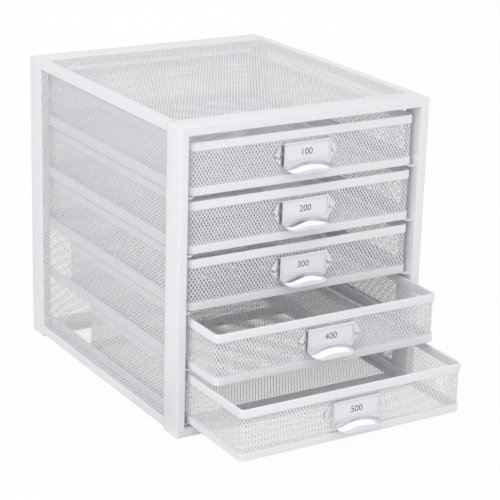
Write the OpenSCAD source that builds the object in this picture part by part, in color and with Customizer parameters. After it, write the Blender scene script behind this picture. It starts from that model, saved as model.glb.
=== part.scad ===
// Desktop cabinet with five sliding drawers: frames of flat tube, panels and drawers of
// expanded metal, and a stamped label handle on each drawer.
// Millimetres, +Z up, drawers open toward -Y. Origin: on the floor, in the middle of the
// underside of the front frame.

/* [Cabinet] */
// Width over the posts
cabinet_w = 290; // [270:1:320]
// Depth over the two frames, without handles
cabinet_d = 340; // [300:1:380]
// Height from the floor to the top
cabinet_h = 320; // [310:1:340]
// Radius of the frames' four outer corners
frame_corner_r = 2.5; // [1:0.5:4]

/* [Tubes] */
// Width of a frame tube, seen from the front
tube_w = 10; // [8:0.5:14]
// Depth of a frame tube, along the cabinet's depth
tube_d = 27; // [20:1:35]
// Wall of the frame tubes
tube_wall = 1; // [0.8:0.1:1.5]
// Radius of the long edges of the tubes
tube_edge_r = 1.3; // [0.5:0.1:2]
// Width of a side rail
rail_w = 10; // [8:0.5:14]
// Height of a side rail
rail_h = 10; // [8:0.5:14]
// Gap between the floor and the lower side rails
rail_lift = 3.5; // [1:0.5:8]

/* [Expanded metal] */
// Pitch of the mesh across its diamonds
mesh_short = 7.4; // [6:0.1:12]
// Pitch of the mesh along its diamonds
mesh_long = 12; // [10:0.5:20]
// Width of a strand
strand_w = 2; // [1.6:0.1:2.6]
// Thickness of one layer of strands
strand_t = 0.5; // [0.4:0.05:0.8]
// Solid margin round a cabinet panel
panel_margin = 2; // [1:0.5:4]
// Depth of a cabinet panel behind the outer face of its tubes
panel_inset = 1; // [0.5:0.5:4]

/* [Drawers] */
// Gap between the front frame's face and a closed drawer
drawer_recess = 4.8; // [3:0.1:8]
// Gap behind a closed drawer
drawer_rear_gap = 9.2; // [6:0.1:15]
// Gap between a drawer and a post
drawer_side_gap = 4.35; // [3:0.05:6]
// Gap between the bottom rail and the lowest drawer
drawer_floor_gap = 3.8; // [2.5:0.1:5]
// Gap between one drawer and the next
drawer_gap = 5.4; // [4:0.1:7]
// Gap between the top drawer and the top rail
drawer_top_gap = 8.1; // [4:0.1:12]
// Radius of a drawer's upright corners
drawer_corner_r = 6; // [5:0.5:9]
// How far the fourth drawer stands open
open_4 = 55.1; // [0:0.1:160]
// How far the fifth drawer stands open
open_5 = 105.1; // [0:0.1:160]

/* [Drawer rims] */
// Thickness of a folded rim
rim_t = 3; // [2.6:0.1:4]
// Height of the top rim
top_rim_h = 8.5; // [7:0.1:12]
// Height of the bottom rim
bottom_rim_h = 9; // [7:0.1:12]
// Thickness of the fold over the edge of the mesh
rim_fold_t = 1.5; // [1:0.1:2.5]
// Radius of the fold's two edges
rim_fold_r = 1.2; // [0.5:0.1:1.3]
// Width of the inner ledge that carries the floor
ledge_w = 2.5; // [2:0.5:6]
// Thickness of the ledge
ledge_t = 1; // [0.8:0.1:1.5]

/* [Runners] */
// Height of a runner's leg above its flange
runner_leg_h = 11.2; // [8:0.1:16]
// Reach of a runner's flange from the post
runner_reach = 9.5; // [7:0.5:14]
// Sheet thickness of a runner
runner_t = 1; // [0.8:0.1:1.5]
// Radius inside a runner's bend
runner_bend_r = 0.8; // [0.3:0.1:2]
// Gap between the front frame's face and a runner
runner_setback = 3; // [1:0.5:8]
// Bevel on the front corner of the flange
runner_bevel = 4; // [0:0.5:6]
// Gap between a runner and the drawer on it
glide_gap = 0.3; // [0.2:0.05:0.6]

/* [Handles] */
// Sheet thickness of a handle
handle_t = 0.8; // [0.6:0.1:1.2]
// Radius inside the bends round the label frame
handle_bend_r = 0.5; // [0.2:0.1:1]
// Width of the label frame
label_frame_w = 56; // [50:1:62]
// Height of the label frame down to the corners of the cup
label_frame_h = 25.2; // [23:0.1:27]
// How far the label frame stands in front of the rims
label_frame_out = 3; // [2:0.1:4]
// Distance from a drawer's top to the label frame
handle_drop = 11.5; // [10:0.5:13]
// Bar above the label window
window_bar = 2.5; // [2:0.1:4]
// Bar on each side of the label window
window_side = 2; // [1.5:0.1:5]
// Metal between the label window and the arch of the cup
window_sill = 1; // [0.8:0.1:3]
// Thickness of the label card
card_t = 0.4; // [0.2:0.1:0.6]
// How far the card reaches above and below the window
card_lap = 0.8; // [0.3:0.1:0.9]
// Gap between the card and the bends beside it
card_gap = 0.1; // [0.05:0.05:0.2]
// Reach of the cup in front of the label frame
cup_out = 12; // [11:0.5:14]
// Distance from the cup's corners down to its lip
cup_drop = 4.8; // [4:0.1:5.5]
// Rise of the cup's arch above its corners
cup_rise = 5.2; // [4:0.1:5.4]
// Distance from the side of the label frame to the end of the cup
cup_side = 1; // [1:0.5:7]
// Height of the rivets above the cup's corners
rivet_rise = 12; // [9:0.5:15]
// Distance of a rivet from the side of the label frame
rivet_out = 5; // [4:0.5:8]
// Diameter of a rivet's shank
rivet_d = 3; // [2:0.1:4]
// Diameter of a rivet's head
rivet_head_d = 7; // [5:0.5:8]
// Height of a rivet's head
rivet_head_h = 1.8; // [1:0.1:2.5]
// Metal round a rivet's centre at the tip of an ear
ear_r = 4.2; // [4:0.1:5]

/* [Hidden] */
levels = 5;
$fn = 48;

opened = [0, 0, 0, open_4, open_5];

// How far a cutter reaches past what it cuts
past = 1;

// The front frame stands on the origin
front_y = -tube_d / 2;
back_y = front_y + cabinet_d;

// Strands lie in two layers with a hair's breadth between them
layer_gap = 0.05;
net_t = 2 * strand_t + layer_gap;

// A drawer takes what the frame and the gaps leave
drawer_w = cabinet_w - 2 * tube_w - 2 * drawer_side_gap;
drawer_d = cabinet_d - drawer_recess - drawer_rear_gap;
stack_h = cabinet_h - 2 * tube_w - drawer_floor_gap - drawer_top_gap;
drawer_h = (stack_h - (levels - 1) * drawer_gap) / levels;
drawer_pitch = drawer_h + drawer_gap;

// The net is clamped in the middle of the rims
net_in = (rim_t - net_t) / 2;
net_z0 = rim_fold_t;
net_h = drawer_h - 2 * rim_fold_t;
wall_margin = 2;

// Heights on a handle, from the drawer's bottom
label_top_z = drawer_h - handle_drop;
cup_corner_z = label_top_z - label_frame_h;
cup_lip_z = cup_corner_z - cup_drop;
rivet_x = label_frame_w / 2 + rivet_out;
rivet_z = cup_corner_z + rivet_rise;

// The window takes what the bars round it and the cup leave
window_w = label_frame_w - 2 * window_side;
window_h = label_frame_h - window_bar - window_sill - cup_rise;
window_z0 = cup_corner_z + cup_rise + window_sill;

// The lip runs into the sheet a little above the sheet's lower edge
lip_hem = 0.3;

// The cup's roof is an arch through its two corners
cup_half_w = label_frame_w / 2 - cup_side;
cup_top_h = cup_drop + cup_rise;
cup_bar_x = cup_half_w - cup_out;
cup_corner_x = cup_bar_x + sqrt(cup_out * cup_out - cup_drop * cup_drop);
arch_r = (cup_corner_x * cup_corner_x + cup_rise * cup_rise) / (2 * cup_rise);
arch_steps = 180;

function drawer_z(n) = tube_w + drawer_floor_gap + (levels - n) * drawer_pitch;
function drawer_y(n) = front_y + drawer_recess - opened[n - 1];

// Children drawn in X and Z, extruded from y = 0 back to y = length
module along_y(length) {
    translate([0, length, 0])
        rotate([90, 0, 0])
            linear_extrude(length)
                children();
}

// Rectangle with round corners, its lower left corner at the origin
module round_rect(w, h, r) {
    if (r > 0) {
        translate([r, 0]) square([w - 2 * r, h]);
        translate([0, r]) square([w, h - 2 * r]);
        for (x = [r, w - r], y = [r, h - r])
            translate([x, y]) circle(r);
    } else {
        square([w, h]);
    }
}

// Rectangle with one round corner, which lies at the origin
module bend_rect(w, h, r) {
    translate([r, 0]) square([w - r, h]);
    translate([0, r]) square([w, h - r]);
    translate([r, r]) circle(r);
}

// ---- Frames and rails ----

// Front view of a frame, with all its faces moved inward by skin
module frame_outline(skin) {
    opening_w = cabinet_w - 2 * tube_w + 2 * skin;
    opening_h = cabinet_h - 2 * tube_w + 2 * skin;
    difference() {
        translate([-cabinet_w / 2 + skin, skin])
            round_rect(cabinet_w - 2 * skin, cabinet_h - 2 * skin, max(frame_corner_r - skin, 0));
        translate([-opening_w / 2, tube_w - skin])
            square([opening_w, opening_h]);
    }
}

// Bar of flat tube along X with rounded edges, its ends mitred toward +Z
module mitred_bar(length) {
    intersection() {
        rotate([90, 0, 90])
            linear_extrude(length)
                round_rect(tube_d, tube_w, tube_edge_r);
        along_y(tube_d)
            polygon([[0, 0], [length, 0], [length - tube_w, tube_w], [tube_w, tube_w]]);
    }
}

// Two crossbars and two uprights, with the frame's outer corners rounded
module frame_bars() {
    intersection() {
        union() {
            for (side = [0, 1])
                translate([-cabinet_w / 2, 0, side * cabinet_h])
                    mirror([0, 0, side]) mitred_bar(cabinet_w);
            for (side = [0, 1])
                mirror([side, 0, 0])
                    translate([-cabinet_w / 2, 0, 0])
                        mirror([1, 0, -1]) mitred_bar(cabinet_h);
        }
        along_y(tube_d) frame_outline(0);
    }
}

// Closed portal of hollow flat tube, from y = 0 back to y = tube_d
module tube_frame() {
    difference() {
        frame_bars();
        translate([0, tube_wall, 0])
            along_y(tube_d - 2 * tube_wall) frame_outline(tube_wall);
    }
}

module front_frame() {
    color("white") translate([0, front_y, 0]) tube_frame();
}

module rear_frame() {
    color("white") translate([0, back_y - tube_d, 0]) tube_frame();
}

// Left and right tubes between the frames, their undersides at height z
module side_rails(z) {
    for (side = [0, 1])
        mirror([side, 0, 0])
            translate([-cabinet_w / 2, front_y + tube_d, z])
                along_y(cabinet_d - 2 * tube_d)
                    difference() {
                        round_rect(rail_w, rail_h, tube_edge_r);
                        translate([tube_wall, tube_wall])
                            square([rail_w - 2 * tube_wall, rail_h - 2 * tube_wall]);
                    }
}

module upper_side_rails() {
    color("white") side_rails(cabinet_h - rail_h);
}

module lower_side_rails() {
    color("white") side_rails(rail_lift);
}

// ---- Expanded metal ----

// One layer of straight strands: a plate cut by slots that lean to one side of Y
module strand_layer(w, h, margin, lean_side, corner_r) {
    lean = atan(mesh_short / mesh_long);
    slot_w = mesh_short * cos(lean) - strand_w;
    slot_l = (h + mesh_long) / cos(lean);
    count = ceil((w + h * tan(lean)) / mesh_short / 2);
    difference() {
        round_rect(w, h, corner_r);
        intersection() {
            translate([margin, margin])
                round_rect(w - 2 * margin, h - 2 * margin, max(corner_r - margin, 0));
            for (i = [-count : count])
                translate([w / 2 + i * mesh_short, h / 2])
                    rotate(lean_side * lean)
                        square([slot_w, slot_l], center = true);
        }
    }
}

// Panel of expanded metal from z = 0 to net_t: two crossing layers of strands
module net(w, h, margin, corner_r = 0) {
    linear_extrude(strand_t)
        strand_layer(w, h, margin, 1, corner_r);
    translate([0, 0, strand_t + layer_gap])
        linear_extrude(strand_t)
            strand_layer(w, h, margin, -1, corner_r);
}

// Side panel, diamonds along the depth, between the rails and the frames
module side_net(side) {
    z0 = rail_lift + rail_h;
    mirror([side, 0, 0])
        translate([-cabinet_w / 2 + panel_inset + net_t, front_y + tube_d, z0])
            rotate([0, -90, 0])
                net(cabinet_h - rail_h - z0, cabinet_d - 2 * tube_d, panel_margin);
}

module left_side_net() {
    color("white") side_net(0);
}

module right_side_net() {
    color("white") side_net(1);
}

module top_net() {
    w = cabinet_w - 2 * rail_w;
    color("white")
        translate([-w / 2, front_y + tube_d, cabinet_h - panel_inset - net_t])
            net(w, cabinet_d - 2 * tube_d, panel_margin);
}

module back_net() {
    w = cabinet_w - 2 * tube_w;
    color("white")
        translate([-w / 2, back_y - panel_inset, tube_w])
            rotate([90, 0, 0])
                net(w, cabinet_h - 2 * tube_w, panel_margin);
}

// ---- Runners ----

// Leg on the post and flange under the drawer, bent from one sheet
module runner_section() {
    difference() {
        bend_rect(runner_reach, runner_t + runner_leg_h, runner_bend_r + runner_t);
        translate([runner_t, runner_t])
            bend_rect(runner_reach, runner_leg_h + past, runner_bend_r);
    }
}

// Left and right L-shaped runner of one drawer, the front corner of its flange cut off
module runner_pair(n) {
    length = cabinet_d - 2 * runner_setback;
    high = runner_t + runner_leg_h;
    for (side = [0, 1])
        mirror([side, 0, 0])
            translate([
                tube_w - cabinet_w / 2, front_y + runner_setback,
                drawer_z(n) - glide_gap - runner_t
            ])
                intersection() {
                    along_y(length) runner_section();
                    linear_extrude(high)
                        polygon([
                            [0, 0], [runner_reach - runner_bevel, 0], [runner_reach, runner_bevel],
                            [runner_reach, length], [0, length]
                        ]);
                }
}

module runners(n) {
    color("white") runner_pair(n);
}

// ---- Drawers: x from the middle, y from the rims' front face, z from the bottom ----

module in_drawer(n) {
    translate([0, drawer_y(n), drawer_z(n)]) children();
}

// Plan of a drawer, with all its sides moved inward by skin
module drawer_plan(skin) {
    translate([-drawer_w / 2 + skin, skin])
        round_rect(drawer_w - 2 * skin, drawer_d - 2 * skin, max(drawer_corner_r - skin, 0));
}

module plan_band(from, to) {
    difference() {
        drawer_plan(from);
        drawer_plan(to);
    }
}

// Section with X inward from the drawer's side and Y up, led round the drawer
module round_drawer() {
    r = drawer_corner_r;
    for (side = [0, 1])
        mirror([side, 0, 0])
            translate([-drawer_w / 2, drawer_d - r, 0])
                rotate([90, 0, 0]) linear_extrude(drawer_d - 2 * r) children();
    for (end = [0, 1])
        translate([0, end * drawer_d, 0])
            mirror([0, end, 0]) {
                translate([r - drawer_w / 2, 0, 0])
                    rotate([90, 0, 90]) linear_extrude(drawer_w - 2 * r) children();
                for (side = [0, 1])
                    mirror([side, 0, 0])
                        translate([r - drawer_w / 2, r, 0])
                            rotate([0, 0, 180])
                                rotate_extrude(angle = 90)
                                    translate([r, 0]) mirror([1, 0]) children();
            }
}

// Section of a rim of height h: a strip on each side of the mesh and the round fold at y = 0
module folded_strip(h) {
    difference() {
        union() {
            translate([0, rim_fold_r]) square([rim_t, h - rim_fold_r]);
            round_rect(rim_t, h, rim_fold_r);
        }
        translate([net_in, rim_fold_t]) square([net_t, h]);
    }
}

// Rim folded over the upper edge of the mesh
module top_rim(n) {
    color("white") in_drawer(n)
        round_drawer()
            translate([0, drawer_h]) mirror([0, 1]) folded_strip(top_rim_h);
}

// Rim round the lower edge of the mesh, with the ledge that carries the floor
module bottom_rim(n) {
    color("white") in_drawer(n) {
        round_drawer() folded_strip(bottom_rim_h);
        linear_extrude(ledge_t) plan_band(rim_t / 2, rim_t + ledge_w);
    }
}

// Quarter turn of mesh round one upright corner, with diamonds in a column
module corner_shell() {
    outer_r = drawer_corner_r - net_in;
    clear_h = drawer_h - top_rim_h - bottom_rim_h;
    count = floor(clear_h / mesh_long);
    difference() {
        linear_extrude(net_h)
            difference() {
                intersection() {
                    circle(outer_r);
                    translate([-outer_r, -outer_r]) square(outer_r - layer_gap);
                }
                circle(outer_r - net_t);
            }
        for (i = [0 : count - 1])
            translate([0, 0, bottom_rim_h - net_z0 + (i + 0.5) * clear_h / count])
                rotate([90, 0, -45])
                    linear_extrude(2 * outer_r)
                        polygon([
                            [-(mesh_short - strand_w) / 2, 0], [0, -(mesh_long - strand_w) / 2],
                            [(mesh_short - strand_w) / 2, 0], [0, (mesh_long - strand_w) / 2]
                        ]);
    }
}

// Mesh wall: four flat stretches and four rounded corners
module wall_net(n) {
    front_w = drawer_w - 2 * drawer_corner_r;
    side_l = drawer_d - 2 * drawer_corner_r;
    color("white") in_drawer(n) translate([0, 0, net_z0]) {
        difference() {
            translate([-front_w / 2, net_in + net_t, 0])
                rotate([90, 0, 0]) net(front_w, net_h, wall_margin);
            for (side = [-1, 1])
                translate([side * rivet_x, 0, rivet_z - net_z0])
                    along_y(rim_t) circle(d = rivet_d);
        }
        translate([-front_w / 2, drawer_d - net_in, 0])
            rotate([90, 0, 0]) net(front_w, net_h, wall_margin);
        for (side = [0, 1])
            mirror([side, 0, 0]) {
                translate([-drawer_w / 2 + net_in, drawer_corner_r, 0])
                    rotate([90, 0, 90]) net(side_l, net_h, wall_margin);
                translate([-drawer_w / 2 + drawer_corner_r, drawer_corner_r, 0])
                    corner_shell();
                translate([-drawer_w / 2 + drawer_corner_r, drawer_d - drawer_corner_r, 0])
                    mirror([0, 1, 0]) corner_shell();
            }
    }
}

// Mesh floor on the ledge of the bottom rim
module floor_net(n) {
    w = drawer_w - 2 * rim_t;
    d = drawer_d - 2 * rim_t;
    color("white") in_drawer(n)
        translate([-w / 2, rim_t, ledge_t])
            net(w, d, ledge_w, drawer_corner_r - rim_t);
}

// ---- Handles: one pressed sheet with a label frame, two ears and a finger cup ----
// The cup is the hollowed front of a round bar with ball ends, under an arched roof.

// Tangent point on a circle of radius r round c, seen from p; side is 1 or -1
function tangent(p, c, r, side) =
    let (v = c - p, d = norm(v), a = atan2(v[1], v[0]) + side * asin(r / d))
    p + sqrt(d * d - r * r) * [cos(a), sin(a)];

// Bar with ball ends along X
module round_bar(r) {
    rotate([0, 90, 0])
        rotate_extrude()
            intersection() {
                union() {
                    translate([0, -cup_bar_x]) square([r, 2 * cup_bar_x]);
                    for (side = [-1, 1])
                        translate([0, side * cup_bar_x]) circle(r);
                }
                translate([0, -cup_half_w]) square([cup_out, 2 * cup_half_w]);
            }
}

// Outside of the cup, or its inside where skin is the sheet's thickness
module cup_form(skin) {
    intersection() {
        round_bar(cup_out - skin);
        translate([0, -cup_out - past, cup_top_h - arch_r])
            along_y(2 * (cup_out + past)) circle(arch_r - skin, $fn = arch_steps);
    }
}

// Space in front of the back of the sheet and above the lip, which slopes up to the corners
module cup_reach() {
    lip_slope = (cup_drop + lip_hem) / cup_out;
    front = -cup_out - past;
    high = cup_top_h + past;
    translate([-cup_half_w, 0, 0])
        rotate([90, 0, 90])
            linear_extrude(2 * cup_half_w)
                polygon([
                    [handle_t, lip_slope * (cup_out + handle_t)], [handle_t, high],
                    [front, high], [front, -lip_slope * past]
                ]);
}

module cup_shell() {
    intersection() {
        cup_form(0);
        cup_reach();
    }
}

// Block that fills the label frame, with all its faces moved inward by skin
module label_block(skin) {
    half_w = label_frame_w / 2 - skin;
    depth = label_frame_out + net_in - skin;
    bend = handle_bend_r + handle_t - skin;
    translate([0, skin, cup_corner_z - skin])
        intersection() {
            linear_extrude(label_frame_h)
                for (side = [0, 1])
                    mirror([side, 0])
                        translate([-half_w, 0]) bend_rect(half_w, depth + skin, bend);
            translate([-half_w, 0, label_frame_h])
                rotate([0, 90, 0])
                    linear_extrude(2 * half_w)
                        bend_rect(label_frame_h, depth + skin, bend);
        }
}

// Front plate, two side walls and a top flange, bent from one sheet
module label_frame() {
    difference() {
        label_block(0);
        label_block(handle_t);
    }
}

// Ears lie on the net and narrow to a round tip with a rivet hole
module ears() {
    tip = [rivet_x, rivet_z];
    low = [label_frame_w / 2, cup_corner_z];
    high = [label_frame_w / 2, label_top_z];
    for (side = [0, 1])
        mirror([side, 0, 0])
            translate([0, label_frame_out + net_in - handle_t, 0])
                along_y(handle_t)
                    difference() {
                        union() {
                            translate([low[0] - handle_t, low[1]])
                                square([handle_t, label_frame_h]);
                            polygon([
                                low, tangent(low, tip, ear_r, -1), tip,
                                tangent(high, tip, ear_r, 1), high
                            ]);
                            translate(tip) circle(ear_r);
                        }
                        translate(tip) circle(d = rivet_d);
                    }
}

module handle(n) {
    color("silver") in_drawer(n) translate([0, -label_frame_out, 0])
        difference() {
            union() {
                label_frame();
                ears();
                translate([0, 0, cup_lip_z]) cup_shell();
            }
            translate([0, 0, cup_lip_z])
                intersection() {
                    cup_form(handle_t);
                    translate([-cup_half_w, -cup_out, -cup_out])
                        cube([2 * cup_half_w, cup_out + handle_t + past, 2 * cup_out]);
                }
            translate([-window_w / 2, -past, window_z0])
                cube([window_w, handle_t + 2 * past, window_h]);
        }
}

// Card behind the window, against the back of the sheet and between its bends
module label_card(n) {
    w = label_frame_w - 2 * (handle_t + handle_bend_r + card_gap);
    color("ivory") in_drawer(n)
        translate([-w / 2, handle_t - label_frame_out, window_z0 - card_lap])
            cube([w, card_t, window_h + 2 * card_lap]);
}

// Spherical cap with its flat side at z = 0
module rivet_head() {
    r = (rivet_head_d * rivet_head_d / 4 + rivet_head_h * rivet_head_h) / (2 * rivet_head_h);
    intersection() {
        translate([0, 0, rivet_head_h - r]) sphere(r);
        cylinder(h = rivet_head_h, d = rivet_head_d);
    }
}

// Rivets through the ears and the net, headed on both sides
module rivets(n) {
    grip = handle_t + net_t;
    color("silver") in_drawer(n)
        for (side = [-1, 1])
            translate([side * rivet_x, net_in - handle_t, rivet_z]) {
                rotate([90, 0, 0]) rivet_head();
                along_y(grip) circle(d = rivet_d);
                translate([0, grip, 0]) rotate([-90, 0, 0]) rivet_head();
            }
}

front_frame();
rear_frame();
upper_side_rails();
lower_side_rails();
left_side_net();
right_side_net();
top_net();
back_net();
for (n = [1 : levels]) {
    runners(n);
    top_rim(n);
    bottom_rim(n);
    wall_net(n);
    floor_net(n);
    handle(n);
    label_card(n);
    rivets(n);
}
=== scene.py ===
# %% [markdown]
# # A desktop cabinet of white steel and expanded metal
#
# The object is a small office cabinet: two frames of flat tube joined by rails, panels of
# expanded metal between them, and five mesh drawers. A pressed, bright handle with a label
# frame is riveted to each drawer. The first three drawers are shut, the lower two stand open.
#
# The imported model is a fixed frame. It says where each piece lies and which body carries it,
# and every piece made below takes its size and place from a node of that frame.

import math

import bmesh
import bpy
from mathutils import Matrix, Vector


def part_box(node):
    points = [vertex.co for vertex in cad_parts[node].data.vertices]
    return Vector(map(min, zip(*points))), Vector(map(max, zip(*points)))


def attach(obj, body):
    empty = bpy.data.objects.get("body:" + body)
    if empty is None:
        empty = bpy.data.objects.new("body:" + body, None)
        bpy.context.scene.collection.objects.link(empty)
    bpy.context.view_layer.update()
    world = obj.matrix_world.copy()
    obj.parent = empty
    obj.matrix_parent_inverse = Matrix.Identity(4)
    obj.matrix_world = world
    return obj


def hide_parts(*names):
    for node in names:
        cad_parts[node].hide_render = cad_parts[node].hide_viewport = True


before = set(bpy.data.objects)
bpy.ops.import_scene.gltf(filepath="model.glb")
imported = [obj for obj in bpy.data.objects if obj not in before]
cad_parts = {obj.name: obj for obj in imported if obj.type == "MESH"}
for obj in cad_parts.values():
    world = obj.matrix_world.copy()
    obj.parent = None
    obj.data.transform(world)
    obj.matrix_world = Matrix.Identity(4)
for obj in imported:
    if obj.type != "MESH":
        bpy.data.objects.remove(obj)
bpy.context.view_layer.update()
MM = 0.001
DRAWERS = range(1, 6)
print("nodes in the frame:", len(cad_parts))

# %% [markdown]
# ## The camera
#
# A long lens from far away keeps upright edges nearly parallel, which suits a box. The camera
# is placed by the angles it looks along and by the point it looks at, because those numbers
# are easier to reason about than a rotation matrix. The small roll is the tilt of the camera
# about its own line of sight.

# %% Camera
AIM = Vector((-9.1, 77.2, 151.1)) * MM
CAMERA_DISTANCE = 1850 * MM
CAMERA_AZIMUTH = math.radians(31.60)
CAMERA_ELEVATION = math.radians(18.68)
CAMERA_ROLL = math.radians(1.64)
SENSOR = 36.0
LENS = 127.3


def make_camera():
    """A long lens, aimed from the left and a little above."""
    forward = Vector((
        math.sin(CAMERA_AZIMUTH) * math.cos(CAMERA_ELEVATION),
        math.cos(CAMERA_AZIMUTH) * math.cos(CAMERA_ELEVATION),
        -math.sin(CAMERA_ELEVATION),
    ))
    lens = bpy.data.cameras.new("camera")
    lens.sensor_width = SENSOR
    lens.lens = LENS
    camera = bpy.data.objects.new("camera", lens)
    upright = forward.to_track_quat("-Z", "Y").to_matrix().to_4x4()
    place = Matrix.Translation(AIM - forward * CAMERA_DISTANCE)
    camera.matrix_world = place @ upright @ Matrix.Rotation(CAMERA_ROLL, 4, "Z")
    bpy.context.scene.collection.objects.link(camera)
    bpy.context.scene.camera = camera
    return camera


camera = make_camera()
print("camera stands at", [round(v, 3) for v in camera.matrix_world.translation])

# %% [markdown]
# ## Materials
#
# Steel office goods are powder coated: the colour is even, the gloss is soft, and the skin has
# a very fine orange-peel grain. One could paint that grain as a picture, but a noise texture
# on Object coordinates needs no picture and stays at the same scale on every piece.
# The helper below joins nodes by name, so each material reads as a short recipe.


# %% Material helpers
def new_material(name):
    """An empty recipe: the material, its node tree and its Principled shader."""
    material = bpy.data.materials.new(name)
    material.use_nodes = True
    tree = material.node_tree
    return material, tree, tree.nodes["Principled BSDF"]


def add_noise(tree, scale, detail=2.0, roughness=0.5):
    """Noise over the piece, with scale in cells for each metre."""
    place = tree.nodes.new("ShaderNodeTexCoord")
    noise = tree.nodes.new("ShaderNodeTexNoise")
    noise.inputs["Scale"].default_value = scale
    noise.inputs["Detail"].default_value = detail
    noise.inputs["Roughness"].default_value = roughness
    tree.links.new(place.outputs["Object"], noise.inputs["Vector"])
    return noise.outputs["Fac"]


def add_range(tree, value, low, high):
    """Stretches a 0 to 1 pattern to run from low to high."""
    node = tree.nodes.new("ShaderNodeMapRange")
    node.inputs["To Min"].default_value = low
    node.inputs["To Max"].default_value = high
    tree.links.new(value, node.inputs["Value"])
    return node.outputs["Result"]


def add_colour(tree, shader, value, first, second):
    """Base colour that drifts from first to second with the pattern."""
    node = tree.nodes.new("ShaderNodeMix")
    node.data_type = "RGBA"
    node.inputs["A"].default_value = (*first, 1)
    node.inputs["B"].default_value = (*second, 1)
    tree.links.new(value, node.inputs["Factor"])
    tree.links.new(node.outputs["Result"], shader.inputs["Base Color"])


def add_bump(tree, shader, value, height, strength):
    """Fine relief of the given height, in metres."""
    node = tree.nodes.new("ShaderNodeBump")
    node.inputs["Distance"].default_value = height
    node.inputs["Strength"].default_value = strength
    tree.links.new(value, node.inputs["Height"])
    tree.links.new(node.outputs["Normal"], shader.inputs["Normal"])


# %% Powder coat, plated steel, card and ink
def powder_coat(name, bright, dim, smooth, rough):
    """White powder coat: a slow drift of tone and a fine orange-peel grain."""
    material, tree, shader = new_material(name)
    drift = add_noise(tree, scale=14.0)
    grain = add_noise(tree, scale=1400.0, detail=3.0)
    add_colour(tree, shader, drift, dim, bright)
    tree.links.new(add_range(tree, drift, smooth, rough), shader.inputs["Roughness"])
    shader.inputs["IOR"].default_value = 1.5
    add_bump(tree, shader, grain, height=0.02 * MM, strength=0.35)
    return material


def plated_steel():
    """Bright nickel plate: mirror-like, with faint drawn marks that soften it."""
    material, tree, shader = new_material("plated_steel")
    marks = add_noise(tree, scale=260.0, detail=4.0)
    cloud = add_noise(tree, scale=60.0)
    shader.inputs["Metallic"].default_value = 1.0
    add_colour(tree, shader, cloud, (0.69, 0.70, 0.72), (0.77, 0.78, 0.80))
    tree.links.new(add_range(tree, marks, low=0.12, high=0.24), shader.inputs["Roughness"])
    add_bump(tree, shader, marks, height=0.01 * MM, strength=0.25)
    return material


def label_paper():
    """Smooth white card with a trace of fibre."""
    material, tree, shader = new_material("label_paper")
    fibre = add_noise(tree, scale=900.0, detail=5.0, roughness=0.7)
    add_colour(tree, shader, fibre, (0.83, 0.83, 0.86), (0.89, 0.89, 0.91))
    shader.inputs["Roughness"].default_value = 0.85
    add_bump(tree, shader, fibre, height=0.02 * MM, strength=0.3)
    return material


def printed_ink():
    """Dark grey print, a little uneven, as from an office printer."""
    material, tree, shader = new_material("printed_ink")
    spread = add_noise(tree, scale=1200.0, detail=3.0)
    add_colour(tree, shader, spread, (0.05, 0.05, 0.06), (0.11, 0.11, 0.12))
    shader.inputs["Roughness"].default_value = 0.7
    return material


TUBE_COAT = powder_coat(
    "tube_coat", bright=(0.87, 0.87, 0.885), dim=(0.845, 0.845, 0.86), smooth=0.34, rough=0.46
)
# Painted light: the net has the tubes' own white paint, but its colour is set a little lighter,
# because thin strands with the drawers' shaded inside behind them render darker than the flat tube
NET_COAT_PAINTED_LIGHTER = powder_coat(
    "net_coat_painted_lighter", bright=(0.885, 0.885, 0.90), dim=(0.86, 0.86, 0.875), smooth=0.42, rough=0.55
)
STEEL = plated_steel()
PAPER = label_paper()
INK = printed_ink()
print("materials:", [m.name for m in (TUBE_COAT, NET_COAT_PAINTED_LIGHTER, STEEL, PAPER, INK)])

# %% [markdown]
# ## From a bmesh to a piece
#
# Every piece below is built in a bmesh, in place, so that its object can stay at the origin.
# These helpers turn the bmesh into an object with a material, shade its gentle bends smooth,
# name the body it rides on and hide the nodes that it stands for.


# %% Piece helpers
SMOOTH_ANGLE = math.radians(35)


def object_from(bm, name, material):
    """Object in the scene with the bmesh as its mesh."""
    mesh = bpy.data.meshes.new(name)
    bm.to_mesh(mesh)
    bm.free()
    mesh.materials.append(material)
    made = bpy.data.objects.new(name, mesh)
    bpy.context.scene.collection.objects.link(made)
    return made


def make_piece(bm, name, body, material, stands_for=()):
    """Piece of the cabinet from a bmesh, riding on a body of the frame."""
    bmesh.ops.recalc_face_normals(bm, faces=bm.faces)
    piece = object_from(bm, name, material)
    piece.data.shade_smooth()
    piece.data.set_sharp_from_angle(angle=SMOOTH_ANGLE)
    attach(piece, body)
    if stands_for:
        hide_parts(*stands_for)
    return piece


def face_count(piece):
    """How many faces a piece's mesh has, for the prints."""
    return len(piece.data.polygons)


# %% [markdown]
# ## Frames of flat tube
#
# Each frame is a closed portal. It starts as a cube scaled to the frame's box. Its front and
# back faces are inset by the width of the tube, the two inner faces are removed and the loops
# bridged, which leaves a ring. Bevels then round the four corners and the long edges, because
# rolled tube never has a sharp edge and the rounding is what catches the light.

# %% Frames
TUBE_W = 10 * MM
FRAME_CORNER_R = 2.5 * MM
TUBE_EDGE_R = 1.3 * MM
# From this cosine on, an edge runs along an axis and a face looks along it
ALONG, FACING = 0.999, 0.99


def cube_between(bm, low, high):
    """Cube moved and scaled to fill the box from low to high."""
    low, high = Vector(low), Vector(high)
    place = Matrix.Translation((low + high) / 2) @ Matrix.Diagonal((*(high - low), 1))
    return bmesh.ops.create_cube(bm, size=1, matrix=place)["verts"]


def bevel(bm, edges, radius, segments, clamp=True):
    """Rounds edges with the settings that the editor's own tool has."""
    return bmesh.ops.bevel(
        bm, geom=edges, offset=radius, offset_type="OFFSET", segments=segments,
        profile=0.5, affect="EDGES", clamp_overlap=clamp, material=-1,
    )


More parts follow.
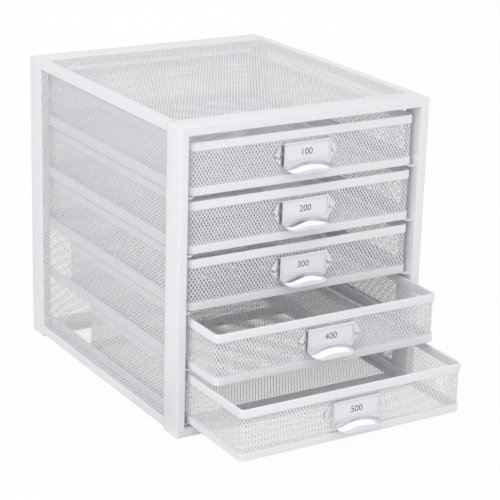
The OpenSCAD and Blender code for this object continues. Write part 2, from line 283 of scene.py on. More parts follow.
def runs_along(edge, axis):
    """True if the edge is parallel to the axis, 0 to 2."""
    step = edge.verts[1].co - edge.verts[0].co
    return abs(step[axis]) > ALONG * step.length


def sharp_edges(bm, degrees=40):
    """Edges where two faces meet at more than the given angle."""
    limit = math.radians(degrees)
    return [e for e in bm.edges if len(e.link_faces) == 2 and e.calc_face_angle(0) > limit]


def hollow(bm, ends, wall):
    """Makes a ring of a solid: its two ends are inset, taken out and bridged."""
    bmesh.ops.inset_individual(bm, faces=ends, thickness=wall, use_even_offset=True)
    loops = [e for f in ends for e in f.edges]
    bmesh.ops.delete(bm, geom=ends, context="FACES_ONLY")
    bmesh.ops.bridge_loops(bm, edges=loops)


def portal_frame(node, name):
    """Closed frame of tube, from the box of its node."""
    low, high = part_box(node)
    bm = bmesh.new()
    cube_between(bm, low, high)
    hollow(bm, [f for f in bm.faces if abs(f.normal.y) > FACING], TUBE_W)
    bmesh.ops.recalc_face_normals(bm, faces=bm.faces)
    outer_x = high.x - FRAME_CORNER_R
    corners = [e for e in bm.edges if runs_along(e, 1) and abs(e.verts[0].co.x) > outer_x]
    bevel(bm, corners, FRAME_CORNER_R, segments=4)
    bevel(bm, sharp_edges(bm), TUBE_EDGE_R, segments=3)
    return make_piece(bm, name, "cabinet", TUBE_COAT, (node,))


for node in ("front_frame", "rear_frame"):
    piece = portal_frame(node, node + "_tube")
    print(piece.name, face_count(piece), "faces")

# %% [markdown]
# ## Side rails
#
# The rails between the frames are short lengths of square tube. A node may hold a left and a
# right rail, so the box of the node gives the outer faces, and each rail is a rounded bar
# inside it. It ends flat against the frames' tubes, where the real one is welded.

# %% Side rails
RAIL_W = 10 * MM
RAIL_EDGE_R = 1.2 * MM


def rail_pair(node, name):
    """Left and right rail between the two frames."""
    low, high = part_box(node)
    bm = bmesh.new()
    for x in (low.x, high.x - RAIL_W):
        cube_between(bm, (x, low.y, low.z), (x + RAIL_W, high.y, high.z))
    bevel(bm, [e for e in bm.edges if runs_along(e, 1)], RAIL_EDGE_R, segments=3)
    return make_piece(bm, name, "cabinet", TUBE_COAT, (node,))


for node in ("upper_side_rails", "lower_side_rails"):
    print(rail_pair(node, node + "_tube").name)

# %% [markdown]
# ## Expanded metal
#
# Expanded metal is a sheet that is slit and pulled open, so its strands run straight from
# edge to edge in two crossing directions and fuse where they meet. A picture with holes
# would be lighter, but it has no thickness and no light passes between its strands.
# Here each strand is one long flat bar. A row of bars leaning one way crosses a row leaning
# the other way, the two rows a fraction of a millimetre apart, and planes trim the panel.

# %% Strand net
STRAND_T = 0.3 * MM
ROW_STEP = 0.06 * MM
# What a strand has too much at both ends together, in strand widths, for the planes to trim
SPARE_WIDTHS = 4
ON_PLANE = 1e-7


def cut(bm, point, normal, geom=None, keep_both=False):
    """Cuts with a plane. Unless both sides stay, its normal's side goes and the cut is closed."""
    made = bmesh.ops.bisect_plane(
        bm, geom=geom or bm.verts[:] + bm.edges[:] + bm.faces[:], dist=ON_PLANE,
        plane_co=point, plane_no=normal, clear_outer=not keep_both,
    )
    if not keep_both:
        rim = [g for g in made["geom_cut"] if isinstance(g, bmesh.types.BMEdge) and g.is_boundary]
        bmesh.ops.holes_fill(bm, edges=rim, sides=0)


def strand_net(width, height, across, along, strand_w):
    """Net in the XY plane from the origin: diamonds are across wide and along high."""
    bm = bmesh.new()
    lean = math.atan2(across, along)
    length = height / math.cos(lean) + SPARE_WIDTHS * strand_w
    half_count = math.ceil((width + height * math.tan(lean)) / across / 2)
    for side in (1, -1):
        turn = Matrix.Rotation(side * lean, 4, "Z")
        shape = turn @ Matrix.Diagonal((strand_w, length, STRAND_T, 1))
        for i in range(-half_count, half_count + 1):
            place = Matrix.Translation((width / 2 + i * across, height / 2, side * ROW_STEP))
            bmesh.ops.create_cube(bm, size=1, matrix=place @ shape)
    for point, normal in (
        ((0, 0, 0), (-1, 0, 0)), ((width, 0, 0), (1, 0, 0)),
        ((0, 0, 0), (0, -1, 0)), ((0, height, 0), (0, 1, 0)),
    ):
        cut(bm, point, normal)
    return bm


# %% [markdown]
# ## Cabinet panels
#
# A net is made flat and then stood in place by one matrix, whose columns say where the net's
# width, height and thickness go. On the sides the diamonds lie along the depth; on the top
# and back they run the other way. Each panel is a little larger than the opening on every
# side, so that its strands end inside the welds.

# %% Cabinet panels
LONG_PITCH = 6.0 * MM
SIDE_PITCH = 3.96 * MM
TOP_PITCH = 3.55 * MM
SIDE_STRAND_W = 0.72 * MM
TOP_STRAND_W = 0.95 * MM
WELD_LAP = 0.6 * MM


def stand(origin, width_way, height_way):
    """Matrix that stands a flat net at origin, with its width and height along two axes."""
    w, h = Vector(width_way), Vector(height_way)
    turn = Matrix((w, h, w.cross(h))).transposed().to_4x4()
    return Matrix.Translation(origin) @ turn


def panel(node, name, across, strand_w, width_way, height_way):
    """Flat panel of net filling the box of its node."""
    low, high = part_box(node)
    size = high - low
    middle = (low + high) / 2
    width = abs(size.dot(Vector(width_way))) + 2 * WELD_LAP
    height = abs(size.dot(Vector(height_way))) + 2 * WELD_LAP
    bm = strand_net(width, height, across, LONG_PITCH, strand_w)
    corner = middle - Vector(width_way) * width / 2 - Vector(height_way) * height / 2
    bmesh.ops.transform(bm, matrix=stand(corner, width_way, height_way), verts=bm.verts)
    return make_piece(bm, name, "cabinet", NET_COAT_PAINTED_LIGHTER, (node,))


X_WAY, Y_WAY, Z_WAY = (1, 0, 0), (0, 1, 0), (0, 0, 1)
for node, across, strand_w, width_way, height_way in (
    ("left_side_net", SIDE_PITCH, SIDE_STRAND_W, Z_WAY, Y_WAY),
    ("right_side_net", SIDE_PITCH, SIDE_STRAND_W, Z_WAY, Y_WAY),
    ("top_net", TOP_PITCH, TOP_STRAND_W, X_WAY, Y_WAY),
    ("back_net", SIDE_PITCH, SIDE_STRAND_W, X_WAY, Z_WAY),
):
    piece = panel(node, node + "_strands", across, strand_w, width_way, height_way)
    print(piece.name, face_count(piece), "faces")

# %% [markdown]
# ## Runners
#
# A runner is sheet metal bent to an L. Its profile is drawn as a few vertices, extruded along
# the depth, and given a small bend radius with a bevel. The front corner of the flange is cut
# at a slant, so that a drawer finds its way in.

# %% Runners
RUNNER_T = 1.0 * MM
RUNNER_REACH = 9.5 * MM
RUNNER_BEVEL = 4.0 * MM
RUNNER_BEND_R = 0.3 * MM


def profile_face(bm, points):
    """Face from a few corner points."""
    return bm.faces.new([bm.verts.new(p) for p in points])


def push_out(bm, face, step):
    """Extrudes a face and moves the new end by step."""
    made = bmesh.ops.extrude_face_region(bm, geom=[face])
    moved = [g for g in made["geom"] if isinstance(g, bmesh.types.BMVert)]
    bmesh.ops.translate(bm, vec=step, verts=moved)


def runner(bm, x, side, low, high):
    """One L-shaped runner; side is 1 where its flange points to +X."""
    section = (
        (0, 0), (RUNNER_REACH, 0), (RUNNER_REACH, RUNNER_T),
        (RUNNER_T, RUNNER_T), (RUNNER_T, high.z - low.z), (0, high.z - low.z),
    )
    points = [(x + side * a, low.y, low.z + b) for a, b in section]
    push_out(bm, profile_face(bm, points), Vector((0, high.y - low.y, 0)))
    own = [v for v in bm.verts if v.co.x * side < 0]
    own += [e for e in bm.edges if e.verts[0].co.x * side < 0]
    own += [f for f in bm.faces if f.verts[0].co.x * side < 0]
    point = Vector((x + side * (RUNNER_REACH - RUNNER_BEVEL), low.y, low.z))
    cut(bm, point, Vector((side, -1, 0)).normalized(), own)


def runner_pair(n):
    """Left and right runner of drawer n."""
    node = f"runners_{n}"
    low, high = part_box(node)
    bm = bmesh.new()
    runner(bm, low.x, 1, low, high)
    runner(bm, high.x, -1, low, high)
    bmesh.ops.recalc_face_normals(bm, faces=bm.faces)
    bends = [e for e in sharp_edges(bm, degrees=60) if runs_along(e, 1)]
    bevel(bm, bends, RUNNER_BEND_R, segments=2)
    return make_piece(bm, f"runner_pair_{n}", "cabinet", TUBE_COAT, (node,))


for n in DRAWERS:
    runner_pair(n)
print("runners made for", len(DRAWERS), "drawers")

# %% [markdown]
# ## Drawer rims
#
# A rim is a flat strip folded over the edge of the mesh, so it shows as a closed band with a
# rounded fold. It is made as the frames were: a scaled cube, its upright edges bevelled to the
# drawer's corner radius, the ends inset and bridged. The fold is one more bevel. The bottom rim
# also has a thin ledge inside, on which the floor lies.

# %% Rims
RIM_T = 3.0 * MM
DRAWER_CORNER_R = 6.0 * MM
CORNER_STEPS = 6
LEDGE_W = 2.5 * MM
LEDGE_T = 1.0 * MM
FOLD_R = 1.3 * MM
SEAM = 0.1 * MM
NEAR = 0.01 * MM


def band(bm, low, high, wall, corner_r):
    """Closed band with round corners that fills the box from low to high."""
    verts = cube_between(bm, low, high)
    upright = [e for e in bm.edges if e.verts[0] in verts and runs_along(e, 2)]
    made = bevel(bm, upright, corner_r, segments=CORNER_STEPS)
    own = {f for v in made["verts"] for f in v.link_faces}
    hollow(bm, [f for f in bm.faces if f in own and abs(f.normal.z) > FACING], wall)


def rim(n, which):
    """Top or bottom rim of drawer n, with its fold rounded."""
    node = f"drawer_{n}_{which}_rim"
    low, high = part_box(node)
    bm = bmesh.new()
    band(bm, low, high, RIM_T, DRAWER_CORNER_R)
    bmesh.ops.recalc_face_normals(bm, faces=bm.faces)
    fold_z = high.z if which == "top" else low.z
    folded = [
        e for e in sharp_edges(bm, degrees=60) if all(abs(v.co.z - fold_z) < NEAR for v in e.verts)
    ]
    bevel(bm, folded, FOLD_R, segments=4)
    if which == "bottom":
        inner = Vector((RIM_T - SEAM, RIM_T - SEAM, SEAM))
        ledge_high = Vector((high.x, high.y, low.z + LEDGE_T))
        band(bm, low + inner, ledge_high - Vector((inner.x, inner.y, 0)), LEDGE_W, RIM_T)
    name = f"drawer_{n}_{which}_band"
    return make_piece(bm, name, f"drawer_{n}", TUBE_COAT, (node,))


for n in DRAWERS:
    for which in ("top", "bottom"):
        piece = rim(n, which)
        print(piece.name, face_count(piece), "faces")

# %% [markdown]
# ## Mesh walls of a drawer
#
# The wall of a drawer is one long strip of mesh bent round the four sides, so it is made that
# way too. The strip is laid out flat, as long as the way round, with a whole number of
# diamonds so that its two ends meet. Planes cut it where the corners bend, and a function then
# moves each point from the flat strip to its place on the rounded plan. A separate net for
# each side would be simpler, but its strands would not meet at the corners.
#
# No two sheets are pulled open by quite the same amount, so each drawer has its own pitch.

# %% Mesh walls
DRAWER_PITCH = {1: 3.75 * MM, 2: 3.75 * MM, 3: 3.98 * MM, 4: 3.72 * MM, 5: 3.67 * MM}
DRAWER_STRAND_W = 0.85 * MM
BEND_R = DRAWER_CORNER_R - RIM_T / 2
BEND_CUTS = 4
MERGE = 0.002 * MM


def way_round(low, high):
    """Each side and corner of the way round, as (start, length, point, heading, is a corner)."""
    width, depth = high.x - low.x - 2 * BEND_R, high.y - low.y - 2 * BEND_R
    quarter = math.pi / 2 * BEND_R
    point, heading = Vector((high.x - BEND_R, high.y, 0)), Vector((-1, 0, 0))
    legs, start = [], 0.0
    for length in (width, depth, width, depth):
        inward = Vector((-heading.y, heading.x, 0))
        centre = point + heading * length + inward * BEND_R
        legs.append((start, length, point, heading, False))
        legs.append((start + length, quarter, centre, heading, True))
        start += length + quarter
        point = centre + heading * BEND_R
        heading = inward
    return legs, start


def wrap_point(co, legs):
    """Place on the drawer for a point of the flat strip: (along, up, outward)."""
    along, up, out = co
    start, _, point, heading, corner = next(
        (leg for leg in legs if along <= leg[0] + leg[1] + ON_PLANE), legs[-1]
    )
    outward = Vector((heading.y, -heading.x, 0))
    if corner:
        angle = (along - start) / BEND_R
        outward = outward * math.cos(angle) + heading * math.sin(angle)
        return point + outward * (BEND_R + out) + Vector((0, 0, up))
    return point + heading * (along - start) + outward * out + Vector((0, 0, up))


def mesh_wall(n):
    """Wall of drawer n: one strip of net round all four sides."""
    bottom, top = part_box(f"drawer_{n}_bottom_rim"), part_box(f"drawer_{n}_top_rim")
    inset = Vector((RIM_T / 2, RIM_T / 2, 0))
    legs, total = way_round(bottom[0] + inset, bottom[1] - inset)
    z0, z1 = bottom[1].z - WELD_LAP, top[0].z + WELD_LAP
    across = total / round(total / DRAWER_PITCH[n])
    bm = strand_net(total, z1 - z0, across, LONG_PITCH, DRAWER_STRAND_W)
    ends = [f for f in bm.faces if abs(f.normal.x) > FACING]
    bmesh.ops.delete(bm, geom=ends, context="FACES_ONLY")
    for start, length, _, _, corner in legs:
        if corner:
            for i in range(BEND_CUTS + 1):
                cut(bm, (start + length * i / BEND_CUTS, 0, 0), (1, 0, 0), keep_both=True)
    for vert in bm.verts:
        vert.co = wrap_point(vert.co, legs) + Vector((0, 0, z0))
    bmesh.ops.remove_doubles(bm, verts=bm.verts, dist=MERGE)
    name = f"drawer_{n}_wall_strands"
    nodes = (f"drawer_{n}_wall_net",)
    return make_piece(bm, name, f"drawer_{n}", NET_COAT_PAINTED_LIGHTER, nodes)


for n in DRAWERS:
    piece = mesh_wall(n)
    print(piece.name, face_count(piece), "faces")

# %% [markdown]
# ## Drawer floors
#
# The floor of a drawer is a flat panel of the same mesh on the ledge of the bottom rim. It
# reaches the rim's wall on all four sides, so that no strand ends in the air.

# %% Drawer floors
for n in DRAWERS:
    low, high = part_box(f"drawer_{n}_floor_net")
    bm = strand_net(high.x - low.x, high.y - low.y, DRAWER_PITCH[n], LONG_PITCH, DRAWER_STRAND_W)
    corner = Vector((low.x, low.y, (low.z + high.z) / 2))
    bmesh.ops.translate(bm, vec=corner, verts=bm.verts)
    name, nodes = f"drawer_{n}_floor_strands", (f"drawer_{n}_floor_net",)
    piece = make_piece(bm, name, f"drawer_{n}", NET_COAT_PAINTED_LIGHTER, nodes)
    print(piece.name, face_count(piece), "faces")

# %% [markdown]
# ## The pressed handle
#
# The handle is a single blank of thin sheet. A press forms a box that stands out round the
# label window, two ears that lie on the mesh, and below the window a finger cup whose roof is
# an arch. One sheet suggests one grid: its columns run from ear to ear and its rows from the
# top flange down to the lip, and a function says where each crossing goes. The window is a
# patch of faces taken out. Thickness comes last, from a Solidify modifier.
#
# All lengths here are in millimetres, from the middle of the handle, the front of the label
# frame and the lowest point of the lip.

# %% Handle: the shape of the cup
PLATE_HALF_W = 28.0
PLATE_LOW, PLATE_HIGH = 4.8, 30.0
CUP_OUT = 12.0
CUP_BAR = 15.0
CUP_TOP = 10.0
# Between 1, a slant, and 2, a quarter of a circle
CUP_POWER = 1.7
LIP_FOOT = Vector((CUP_BAR, -1.655, 4.138))
LIP_SLOPE = Vector((0, -0.9285, -0.3714))
LIP_END_R = 11.14
LIP_END_ANGLE = math.radians(99.2)
CORNER_X = CUP_BAR + LIP_END_R * math.sin(LIP_END_ANGLE)
ARCH_R = (CORNER_X**2 + (CUP_TOP - PLATE_LOW) ** 2) / (2 * (CUP_TOP - PLATE_LOW))
FLAT_COLUMNS, END_COLUMNS, SECTION_ROWS = 6, 12, 12
print("radius of the cup's arch in mm:", round(ARCH_R, 1))


def arch_z(x):
    """Height of the cup's roof where it leaves the label frame."""
    return CUP_TOP - ARCH_R + math.sqrt(ARCH_R**2 - x * x)


def lip_point(k):
    """Point on the lip for a column, which follows a straight front and a round end."""
    if k < FLAT_COLUMNS:
        return Vector((CUP_BAR * k / FLAT_COLUMNS, -CUP_OUT, 0))
    angle = LIP_END_ANGLE * (k - FLAT_COLUMNS) / END_COLUMNS
    sideways = Vector((LIP_END_R * math.sin(angle), 0, 0))
    return LIP_FOOT + sideways + LIP_SLOPE * LIP_END_R * math.cos(angle)


def arch_x(k):
    """Where a column meets the arch."""
    if k < FLAT_COLUMNS:
        return CUP_BAR * k / FLAT_COLUMNS
    share = (k - FLAT_COLUMNS) / END_COLUMNS
    return CUP_BAR + (CORNER_X - CUP_BAR) * math.sin(share * math.pi / 2)


def cup_point(k, t):
    """Point on the cup: t runs along its section, from 0 at the arch to 1 at the lip."""
    arch = Vector((arch_x(k), 0, arch_z(arch_x(k))))
    lip = lip_point(k)
    out = math.sin(t * math.pi / 2) ** (2 / CUP_POWER)
    down = 1 - math.cos(t * math.pi / 2) ** (2 / CUP_POWER)
    return Vector((
        arch.x + (lip.x - arch.x) * out, arch.y + (lip.y - arch.y) * out,
        arch.z + (lip.z - arch.z) * down,
    ))


# %% [markdown]
# ### Columns and rows of the blank
#
# The columns are counted from the middle: first those that cross the cup, then the bar beside
# the window, the bend to the side wall, the side wall's back edge, and last the ear, whose top
# and bottom edges close in on the round tip. The rows are the flange's back edge, the top bend,
# the window's top and bottom, three rows for the small fillet over the arch, and the cup.

# %% Handle: counting the blank's columns and rows
CUP_COLUMNS = FLAT_COLUMNS + END_COLUMNS
BAR_COLUMN, BEND_COLUMN, BACK_COLUMN = CUP_COLUMNS + 1, CUP_COLUMNS + 2, CUP_COLUMNS + 3
EAR_STEPS = 7
LAST_COLUMN = BACK_COLUMN + 1 + EAR_STEPS
TOP_ROW, HEAD_ROW, SILL_ROW, ARCH_ROW = 1, 2, 3, 4
SECTION_ROW = ARCH_ROW + 2
LAST_ROW = SECTION_ROW + SECTION_ROWS
print("the blank has", 2 * LAST_COLUMN + 1, "columns and", LAST_ROW + 1, "rows")

# %% Handle: edges of an ear
EAR_TIP, EAR_R = Vector((33.0, 16.8)), 4.2


def tangent_angle(corner, side):
    """Where on the tip's circle, seen from its centre, a line from the corner touches it."""
    away = corner - EAR_TIP
    return math.atan2(away.y, away.x) - side * math.acos(EAR_R / away.length)


EAR_TOP_ANGLE = tangent_angle(Vector((PLATE_HALF_W, PLATE_HIGH)), 1)
EAR_LOW_ANGLE = tangent_angle(Vector((PLATE_HALF_W, PLATE_LOW)), -1)
print("ear touched at", [round(math.degrees(a)) for a in (EAR_TOP_ANGLE, EAR_LOW_ANGLE)], "degrees")


def ear_edge(step, angle):
    """Point on an ear's edge, from the tangent point at that angle round to the tip."""
    turn = angle * (1 - step / EAR_STEPS)
    return EAR_TIP + EAR_R * Vector((math.cos(turn), math.sin(turn)))


# %% Handle: where each crossing goes
WINDOW_HALF_W, WINDOW_LOW, WINDOW_HIGH = 26.0, 11.0, 27.5
EAR_Y, FLANGE_Y = 3.175, 3.975
FILLET_R = 0.6
# Depth of the fillet's middle row in radii, and where on the cup's section the fillet ends
FILLET_MIDDLE, FILLET_END = 0.29, 0.12
# The fillet fades out towards the cup's corners, with this power of the way there
FILLET_FADE = 3


def row_share(row):
    """Height of a row on the side walls and ears, as a share of the plate's height."""
    heights = {0: PLATE_HIGH, TOP_ROW: PLATE_HIGH, HEAD_ROW: WINDOW_HIGH, SILL_ROW: WINDOW_LOW}
    return (heights.get(row, PLATE_LOW) - PLATE_LOW) / (PLATE_HIGH - PLATE_LOW)


def plate_x(k):
    """Distance of a column from the middle, on the front of the label frame."""
    return arch_x(k) if k <= CUP_COLUMNS else {BAR_COLUMN: WINDOW_HALF_W}.get(k, PLATE_HALF_W)


def cup_column_point(k, row):
    """Crossing of a row below the window with a column that crosses the cup."""
    x = arch_x(k)
    fillet = FILLET_R * (1 - (k / CUP_COLUMNS) ** FILLET_FADE)
    if row == ARCH_ROW:
        return Vector((x, 0, arch_z(x) + fillet))
    if row == ARCH_ROW + 1:
        return Vector((x, -FILLET_MIDDLE * fillet, arch_z(x) + FILLET_MIDDLE * fillet))
    if row == SECTION_ROW:
        return Vector((x, -fillet, arch_z(x)))
    return cup_point(k, FILLET_END + (1 - FILLET_END) * (row - SECTION_ROW) / SECTION_ROWS)


def blank_point(k, row):
    """Where the crossing of column k, counted from the middle, and a row goes."""
    if k <= BEND_COLUMN:
        if row == 0:
            return Vector((plate_x(k), EAR_Y if k == BEND_COLUMN else FLANGE_Y, PLATE_HIGH))
        if row <= SILL_ROW:
            return Vector((plate_x(k), 0, PLATE_LOW + row_share(row) * (PLATE_HIGH - PLATE_LOW)))
        if k <= CUP_COLUMNS:
            return cup_column_point(k, row)
        return Vector((plate_x(k), 0, PLATE_LOW))
    if k == BACK_COLUMN:
        top, low = Vector((PLATE_HALF_W, PLATE_HIGH)), Vector((PLATE_HALF_W, PLATE_LOW))
    else:
        step = k - BACK_COLUMN - 1
        top, low = ear_edge(step, EAR_TOP_ANGLE), ear_edge(step, EAR_LOW_ANGLE)
    x, z = low.lerp(top, row_share(row))
    return Vector((x, EAR_Y, z))


def keeps_face(columns, rows):
    """False for the faces that the press cuts out of the blank."""
    far, near, last = max(columns), min(columns), max(rows)
    in_window = far <= BAR_COLUMN and min(rows) >= HEAD_ROW and last <= SILL_ROW
    beside_cup = far > CUP_COLUMNS and last > ARCH_ROW
    beside_flange = near >= BEND_COLUMN and min(rows) == 0
    return not (in_window or beside_cup or beside_flange)


# %% [markdown]
# ### Pressing and thickening the blank
#
# The grid's own coordinates tell the column and row of each crossing. After the faces that are
# cut out have gone, doubles are merged, because the cup's corners and the ears' tips gather
# many crossings in one point. A bevel turns the sharp bends into bends with a radius.

# %% Handle: make it
SHEET_T = 0.8
BEND_EDGE_R = 0.8
EDGE_R = 0.18
LOWEST_BEND = PLATE_LOW - 0.1


def is_bend(edge):
    """True where the sheet turns the corner of the plate or of the top flange."""
    lowest = min(v.co.z for v in edge.verts)
    widest = max(abs(v.co.x) for v in edge.verts)
    return lowest > LOWEST_BEND and (widest > CORNER_X or lowest > WINDOW_HIGH)


def handle(n):
    """Pressed handle of drawer n."""
    node = f"drawer_{n}_handle"
    low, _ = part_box(node)
    bm = bmesh.new()
    bmesh.ops.create_grid(bm, x_segments=2 * LAST_COLUMN, y_segments=LAST_ROW, size=1)
    crossing = {
        v: (round(v.co.x * LAST_COLUMN), round((1 - v.co.y) / 2 * LAST_ROW)) for v in bm.verts
    }
    cut_out = [
        f for f in bm.faces
        if not keeps_face([abs(crossing[v][0]) for v in f.verts], [crossing[v][1] for v in f.verts])
    ]
    for vert, (column, row) in crossing.items():
        vert.co = blank_point(abs(column), row)
        vert.co.x *= 1 if column >= 0 else -1
    bmesh.ops.delete(bm, geom=cut_out, context="FACES")
    bmesh.ops.remove_doubles(bm, verts=bm.verts, dist=MERGE / MM)
    bends = [e for e in sharp_edges(bm, degrees=50) if is_bend(e)]
    bevel(bm, bends, BEND_EDGE_R, segments=3, clamp=False)
    place = Matrix.Translation((0, low.y + CUP_OUT * MM, low.z)) @ Matrix.Scale(MM, 4)
    bmesh.ops.transform(bm, matrix=place, verts=bm.verts)
    piece = make_piece(bm, f"drawer_{n}_pull", f"drawer_{n}", STEEL, (node,))
    outward = sum((f.normal.y for f in piece.data.polygons), 0.0)
    thick = piece.modifiers.new("thickness", "SOLIDIFY")
    thick.thickness = SHEET_T * MM
    thick.offset = -1.0 if outward < 0 else 1.0
    thick.use_even_offset = True
    thick.use_quality_normals = True
    rounded = piece.modifiers.new("rounded edges", "BEVEL")
    rounded.width = EDGE_R * MM
    rounded.segments = 2
    rounded.limit_method = "ANGLE"
    rounded.angle_limit = math.radians(60)
    flat = piece.modifiers.new("flat faces stay flat", "WEIGHTED_NORMAL")
    flat.keep_sharp = True
    return piece


for n in DRAWERS:
    piece = handle(n)
    print(piece.name, face_count(piece), "faces before thickness")

# %% [markdown]
# ## Label cards and numbers
#
# A strip of card slides in behind the window. Each card carries a plain number. The number is a
# text object, and it is turned into a mesh before it is placed, because only a mesh can be put
# in place by moving its points.

# %% Cards and numbers
LABEL_CORNER_R = 0.6 * MM
NUMBER_STEP = 100
NUMBER_SIZE = 9.5 * MM
INK_T = 0.02 * MM
INK_MERGE = 0.001 * MM


def label_card(n):
    """Card behind the window of drawer n."""
    node = f"drawer_{n}_label_card"
    low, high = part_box(node)
    bm = bmesh.new()
    cube_between(bm, low, high)
    bevel(bm, [e for e in bm.edges if runs_along(e, 1)], LABEL_CORNER_R, segments=3)
    return make_piece(bm, f"drawer_{n}_card", f"drawer_{n}", PAPER, (node,))


def label_number(n, card_low, card_high):
    """Printed number in the middle of the card."""
    text = bpy.data.curves.new(f"number_{n}", "FONT")
    text.body = str(NUMBER_STEP * n)
    text.size = NUMBER_SIZE
    text.align_x, text.align_y = "CENTER", "CENTER"
    text.extrude = INK_T / 2
    text.resolution_u = 6
    draft = bpy.data.objects.new("draft", text)
    bpy.context.scene.collection.objects.link(draft)
    bpy.context.view_layer.update()
    graph = bpy.context.evaluated_depsgraph_get()
    mesh = bpy.data.meshes.new_from_object(draft.evaluated_get(graph))
    bpy.data.objects.remove(draft)
    bm = bmesh.new()
    bm.from_mesh(mesh)
    bpy.data.meshes.remove(mesh)
    bmesh.ops.remove_doubles(bm, verts=bm.verts, dist=INK_MERGE)
    centre_x, centre_y = [
        (min(v.co[a] for v in bm.verts) + max(v.co[a] for v in bm.verts)) / 2 for a in (0, 1)
    ]
    middle = (card_low + card_high) / 2
    front = Vector((middle.x, card_low.y, middle.z))
    place = Matrix.Translation(front) @ Matrix.Rotation(math.pi / 2, 4, "X")
    shift = Matrix.Translation((-centre_x, -centre_y, 0))
    bmesh.ops.transform(bm, matrix=place @ shift, verts=bm.verts)
    return make_piece(bm, f"drawer_{n}_number", f"drawer_{n}", INK)


for n in DRAWERS:
    label_card(n)
    piece = label_number(n, *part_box(f"drawer_{n}_label_card"))
    print(piece.name, face_count(piece), "faces")

# %% [markdown]
# ## Rivets
#
# Two domed rivets hold each handle. A dome is half of a squashed sphere: the sphere is cut at
# its equator and scaled down to the height of the head. A short cylinder is the shank, and a
# second dome, turned round, is the head inside the drawer.

# %% Rivets
HEAD_R = 3.5 * MM
HEAD_H = 1.8 * MM
SHANK_R = 1.5 * MM
# Just under the equator of a sphere of radius 1, so that its ring of points stays
BELOW_EQUATOR = -0.01


def add_dome(bm, place):
    """Rivet head that rises along the local Z of place."""
    verts = bmesh.ops.create_uvsphere(bm, u_segments=24, v_segments=12, radius=1)["verts"]
    kept = [v for v in verts if v.co.z > BELOW_EQUATOR]
    gone = [v for v in verts if v.co.z <= BELOW_EQUATOR]
    bmesh.ops.delete(bm, geom=gone, context="VERTS")
    bmesh.ops.holes_fill(bm, edges=[e for e in bm.edges if e.is_boundary], sides=0)
    shape = Matrix.Diagonal((HEAD_R, HEAD_R, HEAD_H, 1))
    bmesh.ops.transform(bm, matrix=place @ shape, verts=kept)


def rivets(n):
    """Both rivets of drawer n's handle."""
    node = f"drawer_{n}_rivets"
    low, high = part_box(node)
    bm = bmesh.new()
    for x in (low.x + HEAD_R, high.x - HEAD_R):
        z = (low.z + high.z) / 2
        front, back = low.y + HEAD_H, high.y - HEAD_H
        toward = Matrix.Rotation(math.pi / 2, 4, "X")
        away = Matrix.Rotation(-math.pi / 2, 4, "X")
        add_dome(bm, Matrix.Translation((x, front, z)) @ toward)
        add_dome(bm, Matrix.Translation((x, back, z)) @ away)
        bmesh.ops.create_cone(
            bm, segments=16, radius1=SHANK_R, radius2=SHANK_R, depth=back - front, cap_ends=True,
            matrix=Matrix.Translation((x, (front + back) / 2, z)) @ toward,
        )
    return make_piece(bm, f"drawer_{n}_rivet_heads", f"drawer_{n}", STEEL, (node,))


for n in DRAWERS:
    rivets(n)
print("rivets made for", len(DRAWERS), "handles")

# %% [markdown]
# ## Floor, light and background
#
# White things on white need care: if everything is lit alike, the edges vanish. A pale grey
# world gives the even light of a tent, and four large soft lamps stand on the left, in front,
# above and behind, so that each side of the cabinet has its own grey. The camera and the
# bright steel see the world as plain white, and only the lamp above is mirrored in the steel:
# with all four in it, every curve of the handles would burn out to white. Bright steel also
# needs something dark to mirror, or it looks like grey paint, so a dark card lies beside the
# camera. It throws no shadow and the camera doesn't see it.

# %% What is seen directly
def seen_directly(tree):
    """1 for what the camera, a mirror or glass sees, 0 for the light that falls on things."""
    path = tree.nodes.new("ShaderNodeLightPath")
    seen = path.outputs["Is Camera Ray"]
    for ray in ("Is Glossy Ray", "Is Transmission Ray"):
        larger = tree.nodes.new("ShaderNodeMath")
        larger.operation = "MAXIMUM"
        tree.links.new(seen, larger.inputs[0])
        tree.links.new(path.outputs[ray], larger.inputs[1])
        seen = larger.outputs["Value"]
    return seen


# %% Floor and dark card
FLOOR_SIZE = 6.0
FLOOR_GLOW = 0.96
DARK_CARD_CORNER, DARK_CARD_SIZE, DARK_CARD_HEIGHT = (-1.8, -1.6), (1.65, 1.7), 0.002


def stage_sheet(name, material, corner, size, height):
    """Flat sheet of the studio, from its nearest left corner."""
    bm = bmesh.new()
    place = Matrix.Translation((corner[0] + size[0] / 2, corner[1] + size[1] / 2, height))
    shape = Matrix.Diagonal((size[0], size[1], 1, 1))
    bmesh.ops.create_grid(bm, x_segments=1, y_segments=1, size=0.5, matrix=place @ shape)
    sheet = object_from(bm, name, material)
    return sheet


def make_dark_card():
    """Dark card on the floor, left of the camera, that only shows as a reflection."""
    material, tree, shader = new_material("dark_card")
    fibre = add_noise(tree, scale=300.0)
    add_colour(tree, shader, fibre, (0.09, 0.09, 0.095), (0.15, 0.15, 0.155))
    shader.inputs["Roughness"].default_value = 0.9
    card = stage_sheet("dark_card", material, DARK_CARD_CORNER, DARK_CARD_SIZE, DARK_CARD_HEIGHT)
    card.visible_camera = False
    card.visible_diffuse = False
    card.visible_transmission = False
    card.visible_shadow = False


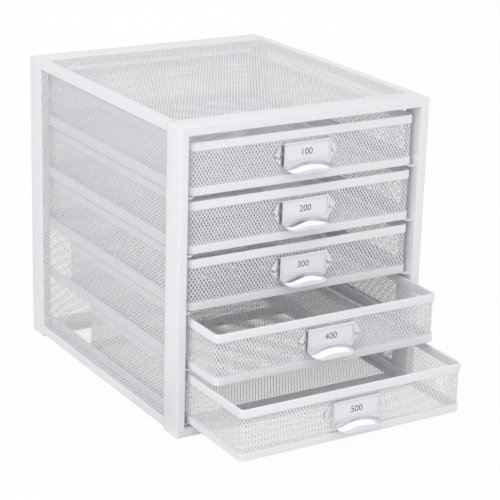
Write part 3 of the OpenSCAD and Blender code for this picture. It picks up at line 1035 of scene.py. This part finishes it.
def make_floor():
    """Large white floor: most of its white is the backdrop's own, the rest takes the shadow."""
    material, tree, shader = new_material("white_floor")
    grain = add_noise(tree, scale=3.0)
    add_colour(tree, shader, grain, (0.90, 0.90, 0.90), (0.92, 0.92, 0.92))
    shader.inputs["Roughness"].default_value = 0.9
    shader.inputs["Specular IOR Level"].default_value = 0.1
    glow = tree.nodes.new("ShaderNodeEmission")
    share = add_range(tree, seen_directly(tree), low=0.0, high=FLOOR_GLOW)
    mix = tree.nodes.new("ShaderNodeMixShader")
    output = tree.nodes["Material Output"]
    tree.links.new(share, mix.inputs["Fac"])
    tree.links.new(shader.outputs["BSDF"], mix.inputs[1])
    tree.links.new(glow.outputs["Emission"], mix.inputs[2])
    tree.links.new(mix.outputs["Shader"], output.inputs["Surface"])
    corner = (-FLOOR_SIZE / 2, -FLOOR_SIZE / 2)
    stage_sheet("floor", material, corner, (FLOOR_SIZE, FLOOR_SIZE), height=0)


make_floor()
make_dark_card()
print("floor and dark card laid")

# %% World and lamps
WORLD_LIGHT = (0.42, 0.425, 0.44)
LIGHT_AIM = (0, 0.15, 0.15)


def make_world():
    """Pale grey light all round, which the camera and a mirror see as white."""
    world = bpy.data.worlds.new("studio")
    bpy.context.scene.world = world
    world.use_nodes = True
    tree = world.node_tree
    tree.nodes.clear()
    output = tree.nodes.new("ShaderNodeOutputWorld")
    backdrop = tree.nodes.new("ShaderNodeBackground")
    backdrop.inputs["Color"].default_value = (1, 1, 1, 1)
    light = tree.nodes.new("ShaderNodeBackground")
    light.inputs["Color"].default_value = (*WORLD_LIGHT, 1)
    mix = tree.nodes.new("ShaderNodeMixShader")
    tree.links.new(seen_directly(tree), mix.inputs["Fac"])
    tree.links.new(light.outputs["Background"], mix.inputs[1])
    tree.links.new(backdrop.outputs["Background"], mix.inputs[2])
    tree.links.new(mix.outputs["Shader"], output.inputs["Surface"])


def make_lamp(name, place, aim, size, power, mirrored=False):
    """Square soft lamp that points at aim; only a mirrored one shows in bright steel."""
    lamp = bpy.data.lights.new(name, "AREA")
    lamp.shape = "SQUARE"
    lamp.size = size
    lamp.energy = power
    holder = bpy.data.objects.new(name, lamp)
    holder.visible_glossy = mirrored
    holder.location = place
    holder.rotation_euler = (Vector(aim) - Vector(place)).to_track_quat("-Z", "Y").to_euler()
    bpy.context.scene.collection.objects.link(holder)


make_world()
make_lamp("left", (-1.5, -0.6, 1.0), LIGHT_AIM, size=2.4, power=17.5)
make_lamp("front", (0.3, -1.8, 0.9), LIGHT_AIM, size=2.4, power=11.5)
make_lamp("top", (0.0, 0.25, 1.9), (0, 0.15, 0.2), size=4.0, power=16.5, mirrored=True)
make_lamp("back", (0.9, 1.9, 0.9), LIGHT_AIM, size=1.4, power=6)
bpy.context.scene.view_settings.view_transform = "Standard"
